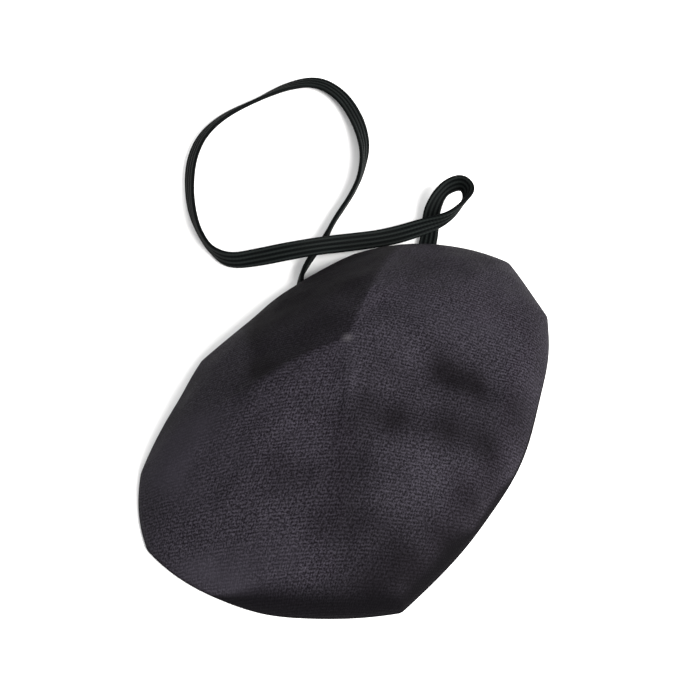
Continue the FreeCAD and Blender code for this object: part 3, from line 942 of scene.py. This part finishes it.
# Painted shade along the rolled edge, where the cloth turns under: angle, spread, and how high
# it reaches in mm. The constant after it is how high it reaches elsewhere.
EDGE_SHADE_REACH = [(211, 22, 6.0), (238, 17, 4.4), (262, 16, 2.2), (285, 35, 1.2)]
PLAIN_EDGE_SHADE = 0.7


def painted_edge_shade(high, share):
    """How much painted shade each point of the cover gets along the rolled edge."""
    reach = np.full_like(high, PLAIN_EDGE_SHADE)
    for centre, spread, top in EDGE_SHADE_REACH:
        reach = np.maximum(reach, top * np.exp(-(turn_gap(ANGLES, centre) / spread) ** 4))
    return (1 - smoothstep(0.60, 1.35, high / MM / reach)) * smoothstep(0.80, 0.93, share)


# How far round the rim the strap's ends swell the cover and raise the lining's foot, in degrees.
TAIL_SPREAD = 5.0


def make_cover(away, high, share, slit_rows):
    """The twill cover: dome, folded rim and hem, with a slit for each end of the strap."""
    outer = place_on_dome(away, high, share)
    inner = inside_of(outer, np.full(outer.shape[:2], COVER_THICK))
    cut = []
    for side, (first, last) in SLITS.items():
        top = slit_rows[0] + int(np.argmax(high[slit_rows[0]:, first] > SLIT_SIZES[side][2]))
        cut.append((slit_rows[0], max(top, slit_rows[1]), first, last))
        swell = bump_at(ANGLES, math.degrees(exit_angle(side)), TAIL_SPREAD) * 0.25 * MM
        near = np.exp(-((high - 1.0 * MM) / (1.6 * MM)) ** 2) * (share > 0.9)
        way = np.stack([np.cos(ANGLES), np.sin(ANGLES), np.zeros_like(ANGLES)], axis=-1)
        push = (swell * near)[..., None] * way
        outer = outer + push
        inner = inner + push
    verts, faces = closed_skin(outer, inner, cut)
    cover = new_piece("cover_twill", verts, faces, "patch", TWILL)
    add_place(cover, skin_places(outer, inner))
    # Painted shade along the rolled edge.
    dark = painted_edge_shade(high, share)
    add_amount(cover, "painted_edge_shade", np.concatenate([dark[:-1].ravel(), dark[:-1].ravel(), [0, 0]]))
    # Painted light and painted shade over the dome's face.
    tone_patches = painted_shading(outer[..., 0] - TIP[0], outer[..., 1] - TIP[1])
    add_amount(cover, "painted_shading", np.concatenate([tone_patches[:-1].ravel(), tone_patches[:-1].ravel(), [0, 0]]))
    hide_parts("cover")
    return outer


def make_stiffener(outer, high):
    """The felt shell under the cover, from just above the hem to the tip."""
    first = int(np.argmax(high[:, 0] > 0.8 * MM))
    body = outer[first:]
    near = inside_of(body, np.full(body.shape[:2], STIFFENER_DEPTH[0]), 4)
    far = inside_of(body, np.full(body.shape[:2], STIFFENER_DEPTH[1]), 4)
    gaps = []
    for side, (one, two) in SLITS.items():
        top = int(np.argmax(high[first:, one] > SLIT_SIZES[side][2] + 0.5 * MM))
        gaps.append((0, max(top, 5), one - 2, two + 2))
    verts, faces = closed_skin(near, far, gaps)
    shell = new_piece("stiffener_felt", verts, faces, "patch", FELT)
    add_place(shell, skin_places(near, far))
    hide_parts("stiffener_shell")


def make_lining(away, high, share):
    """The slack lining inside the dome, gathered where its foot is stitched to the hem."""
    first = int(np.argmax(high[:, 0] > 1.9 * MM))
    plain = place_on_dome(away[first:], high[first:], share[first:], 0.45)
    reach = share[first:]
    gathers = 0.5 + 0.5 * np.sin(ANGLES * 47 + 1.3 * np.sin(ANGLES * 5) + 0.9 * np.sin(ANGLES * 11))
    x = plain[..., 0] / MM
    y = plain[..., 1] / MM
    slack = 0.45 * smoothstep(0.55, 0.95, reach) * gathers * (1.02 - reach) * 8
    slack += 0.35 * (0.5 + 0.5 * waves(x, y, 9.0, 21)) + 0.12 * (0.5 + 0.5 * waves(x, y, 3.6, 22))
    middle = inside_of(plain, LINING_DEPTH + slack * MM, 6)
    rim = rim_radius(ANGLES)
    over_tail = np.zeros_like(ANGLES)
    for side in EXITS:
        over_tail += bump_at(ANGLES, math.degrees(exit_angle(side)), TAIL_SPREAD)
    foot_rows = []
    for step in np.linspace(1, 0, 7)[:-1]:
        inset = FOOT_INSET - step * 2.4 * MM
        foot_rows.append((rim - inset, FOOT_HEIGHT + over_tail * 0.95 * MM))
    foot = []
    for out, z in reversed(foot_rows):
        z = z + lift(ANGLES, out / rim)
        out = out + spread_out(ANGLES, out / rim)
        x = out * np.cos(ANGLES) + TIP[0]
        y = out * np.sin(ANGLES) + TIP[1]
        foot.append(np.stack([x, y, z], axis=-1))
    top = middle[0]
    turn = [foot[-1] * (1 - t) + top * t for t in (0.33, 0.66)]
    grid = np.concatenate([np.array(foot), np.array(turn), middle])
    for _ in range(3):
        grid[1:-1] = (grid[:-2] + 2 * grid[1:-1] + grid[2:]) / 4
    normals = face_normals(grid, 3)
    outer = grid + normals * LINING_THICK / 2
    inner = grid - normals * LINING_THICK / 2
    verts, faces = closed_skin(outer, inner)
    lining = new_piece("lining_cotton", verts, faces, "patch", LINING)
    add_place(lining, skin_places(outer, inner))
    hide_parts("lining")


def tube_parts(paths, radius, corners=8):
    """Vertices, faces and places of round threads along a list of paths."""
    verts, faces, places = [], [], []
    for number, path in enumerate(paths):
        path = np.asarray(path, float)
        ways = np.gradient(path, axis=0)
        ways /= np.linalg.norm(ways, axis=1, keepdims=True)
        side = np.cross(ways, (0.31, 0.22, 0.92))
        side /= np.linalg.norm(side, axis=1, keepdims=True)
        other = np.cross(ways, side)
        length = np.concatenate([[0], np.cumsum(np.linalg.norm(np.diff(path, axis=0), axis=1))])
        base = len(verts)
        for at, point in enumerate(path):
            slim = 0.55 if at in (0, len(path) - 1) else 1.0
            for corner in range(corners):
                turn = 2 * math.pi * corner / corners
                way = math.cos(turn) * side[at] + math.sin(turn) * other[at]
                verts.append(point + slim * radius * way)
                places.append((turn, length[at] / MM + number * 0.37, number * 1.7))
        for at in range(len(path) - 1):
            for corner in range(corners):
                one = base + at * corners + corner
                two = base + at * corners + (corner + 1) % corners
                faces.append((one, two, two + corners, one + corners))
        faces.append(tuple(base + corner for corner in reversed(range(corners))))
        end = base + (len(path) - 1) * corners
        faces.append(tuple(end + corner for corner in range(corners)))
    return verts, faces, places


def rim_place(angle, inset, height):
    """A point so far in from the rim at one angle, on the raised side as the hem is."""
    rim = float(rim_radius(angle))
    out = rim - inset
    z = height + float(lift(angle, out / rim))
    out += float(spread_out(angle, out / rim))
    return np.array([out * math.cos(angle) + TIP[0], out * math.sin(angle) + TIP[1], z])


# No whip stitch stands nearer than this to an end of the strap, in degrees.
STITCH_CLEAR = 4.6


def clear_of_tails(angle):
    """True where the rim has no end of the strap."""
    tails = [math.degrees(exit_angle(side)) for side in EXITS]
    return all(turn_gap(angle, tail) > STITCH_CLEAR for tail in tails)


def make_rim_stitches():
    """Slanting whip stitches over the hem's inner edge, into the foot of the lining."""
    draw = np.random.default_rng(31)
    paths = []
    first = 0.02
    angle = first
    while angle < 2 * math.pi - first:
        step = STITCH_STEP / float(rim_radius(angle))
        lean = step * draw.uniform(0.28, 0.42)
        deep = draw.uniform(-0.25, 0.2) * MM
        run = [
            (angle, HEM - 1.45 * MM + deep, 0.34 * MM),
            (angle + lean * 0.15, HEM - 1.25 * MM + deep, 0.17 * MM),
            (angle + lean * 0.40, HEM - 0.55 * MM, 0.16 * MM),
            (angle + lean * 0.70, HEM + 0.10 * MM, 0.30 * MM),
            (angle + lean * 0.85, HEM + 0.22 * MM, 0.66 * MM),
            (angle + lean * 0.95, HEM - 0.15 * MM, 1.02 * MM),
            (angle + lean, HEM - 0.80 * MM, 1.10 * MM),
        ]
        at = np.array([rim_place(*point) for point in run])
        if clear_of_tails(angle):
            paths.append(smooth_run(at, 17))
        angle += step
    verts, faces, places = tube_parts(paths, THREAD)
    stitches = new_piece("whip_stitches", verts, faces, "patch", SEWING)
    add_place(stitches, places)
    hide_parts("rim_stitches")


# A bar tack's legs, and the path of one leg as (share of its length, height in mm).
TACK_LEGS = 9
TACK_STEP = 0.2 * MM
TACK_HALF_WIDTH = 1.55
TACK_PATH = [(0, 0.55), (0.04, 0.30), (0.20, 0.15), (0.80, 0.15), (0.96, 0.30), (1, 0.55)]


def make_bar_tack(side):
    """A dense zigzag of thread through the hem and the sewn end of the elastic."""
    place, angle = EXITS[side]
    draw = np.random.default_rng(41)
    legs = []
    for number in range(TACK_LEGS + 1):
        across = (1 if number % 2 else -1) * (TACK_HALF_WIDTH + draw.uniform(-0.08, 0.08)) * MM
        back = -TACK_SETBACK[side] - TACK_STEP * TACK_LEGS / 2 + number * TACK_STEP
        legs.append((back, across))
    paths = []
    for (back0, across0), (back1, across1) in zip(legs[:-1], legs[1:]):
        run = []
        for share, height in TACK_PATH:
            back = back0 + (back1 - back0) * share
            across = across0 + (across1 - across0) * share
            run.append((
                place[0] + back * math.cos(angle) - across * math.sin(angle),
                place[1] + back * math.sin(angle) + across * math.cos(angle),
                height * MM,
            ))
        paths.append(smooth_run(run, 13))
    verts, faces, places = tube_parts(paths, THREAD)
    tack = new_piece(f"bar_tack_thread_{side}", verts, faces, "patch", SEWING)
    add_place(tack, places)
    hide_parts(f"bar_tack_{side}")


# -------------------- stage, light and camera

TABLE_HALF = 2.5

KEY_PLACE = (-0.12, -0.80, 0.66)
KEY_SIZE = 0.60
KEY_POWER = 34.0
KEY_COLOUR = (1.0, 0.985, 0.97)
SURROUND = 0.92

CAMERA_PLACE = Vector((-0.17645, -0.12127, 0.31415))
CAMERA_AHEAD = Vector((0.48207, 0.33630, -0.80902))
CAMERA_LENS = 115.3
CAMERA_SENSOR = 36.0


def make_stage():
    """A plain pale table top."""
    mesh = bpy.data.meshes.new("table_top")
    corners = [(-1, -1), (1, -1), (1, 1), (-1, 1)]
    verts = [(x * TABLE_HALF, y * TABLE_HALF, 0) for x, y in corners]
    mesh.from_pydata(verts, [], [(0, 1, 2, 3)])
    floor = bpy.data.objects.new("table_top", mesh)
    bpy.context.scene.collection.objects.link(floor)
    n = Nodes("table_paint")
    mottle = n.noise(n.add("ShaderNodeTexCoord").outputs["Object"], 30.0)
    base = n.mix(mottle, grey(0.925), grey(0.935))
    n.join(base, n.shader.inputs["Base Color"])
    n.shader.inputs["Roughness"].default_value = 0.9
    n.shader.inputs["Specular IOR Level"].default_value = 0.1
    mesh.materials.append(n.material)


def add_area_light(name, place, size, power, colour):
    """A square soft light that points at the middle of the patch."""
    light = bpy.data.lights.new(name, "AREA")
    light.shape = "SQUARE"
    light.size = size
    light.energy = power
    light.color = colour
    holder = bpy.data.objects.new(name, light)
    holder.location = place
    holder.rotation_euler = (Vector((0, 0, 0)) - Vector(place)).to_track_quat("-Z", "Y").to_euler()
    bpy.context.scene.collection.objects.link(holder)


def make_lights():
    """A bright even surround and one soft key light, high on the near right."""
    world = bpy.data.worlds.new("studio")
    world.use_nodes = True
    background = world.node_tree.nodes["Background"]
    background.inputs["Color"].default_value = grey(1.0)
    background.inputs["Strength"].default_value = SURROUND
    bpy.context.scene.world = world
    add_area_light("key_light", KEY_PLACE, KEY_SIZE, KEY_POWER, KEY_COLOUR)
    bpy.context.scene.view_settings.view_transform = "Standard"
    bpy.context.scene.view_settings.look = "None"


def make_camera():
    """A long lens from the near left, 54 degrees above the table."""
    camera = bpy.data.cameras.new("camera")
    camera.lens = CAMERA_LENS
    camera.sensor_width = CAMERA_SENSOR
    camera.clip_start = 0.01
    holder = bpy.data.objects.new("camera", camera)
    holder.location = CAMERA_PLACE
    holder.rotation_euler = CAMERA_AHEAD.to_track_quat("-Z", "Y").to_euler()
    bpy.context.scene.collection.objects.link(holder)
    bpy.context.scene.camera = holder


make_camera()
make_strap()
stations_away, stations_high, stations_share, slit_rows = dome_stations()
cover_face = make_cover(stations_away, stations_high, stations_share, slit_rows)
make_stiffener(cover_face, stations_high)
make_lining(stations_away, stations_high, stations_share)
make_rim_stitches()
for tail_side in EXITS:
    make_tail(tail_side)
    make_bar_tack(tail_side)
make_stage()
make_lights()
